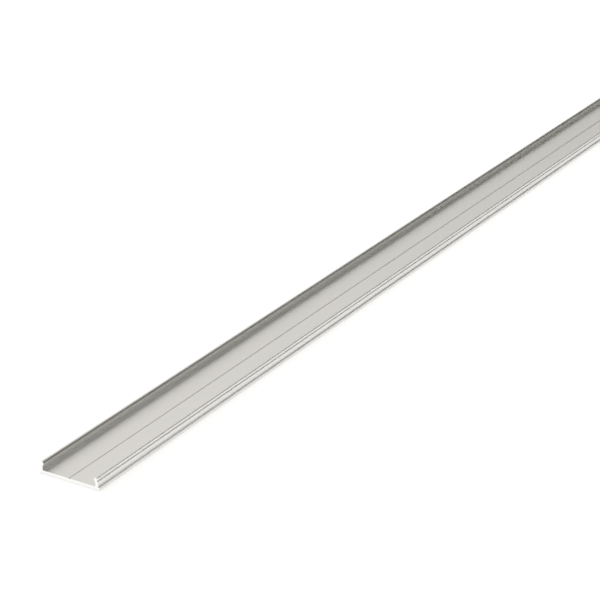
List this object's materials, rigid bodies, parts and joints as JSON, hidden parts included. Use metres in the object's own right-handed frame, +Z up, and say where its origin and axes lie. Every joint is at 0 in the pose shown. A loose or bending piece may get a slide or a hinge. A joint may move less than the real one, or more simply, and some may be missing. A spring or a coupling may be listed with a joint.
{
  "type": "aluminium extrusion profile",
  "caption": "Shallow U-shaped aluminium channel for LED strip, with snap lips along its walls, small outer feet and a drill guide line down its floor, sawn square to a stock length.",
  "frame": {"origin": "middle of the underside, halfway along the length", "axes": "+X along the length, +Y across the width, +Z up out of the open channel"},
  "size_m": [1, 0.019, 0.0034],
  "materials": {
    "anodised_aluminium": "natural satin anodised, with bare sawn ends"
  },
  "bodies": {
    "root": {"profile": "anodised_aluminium"}
  },
  "joints": []
}
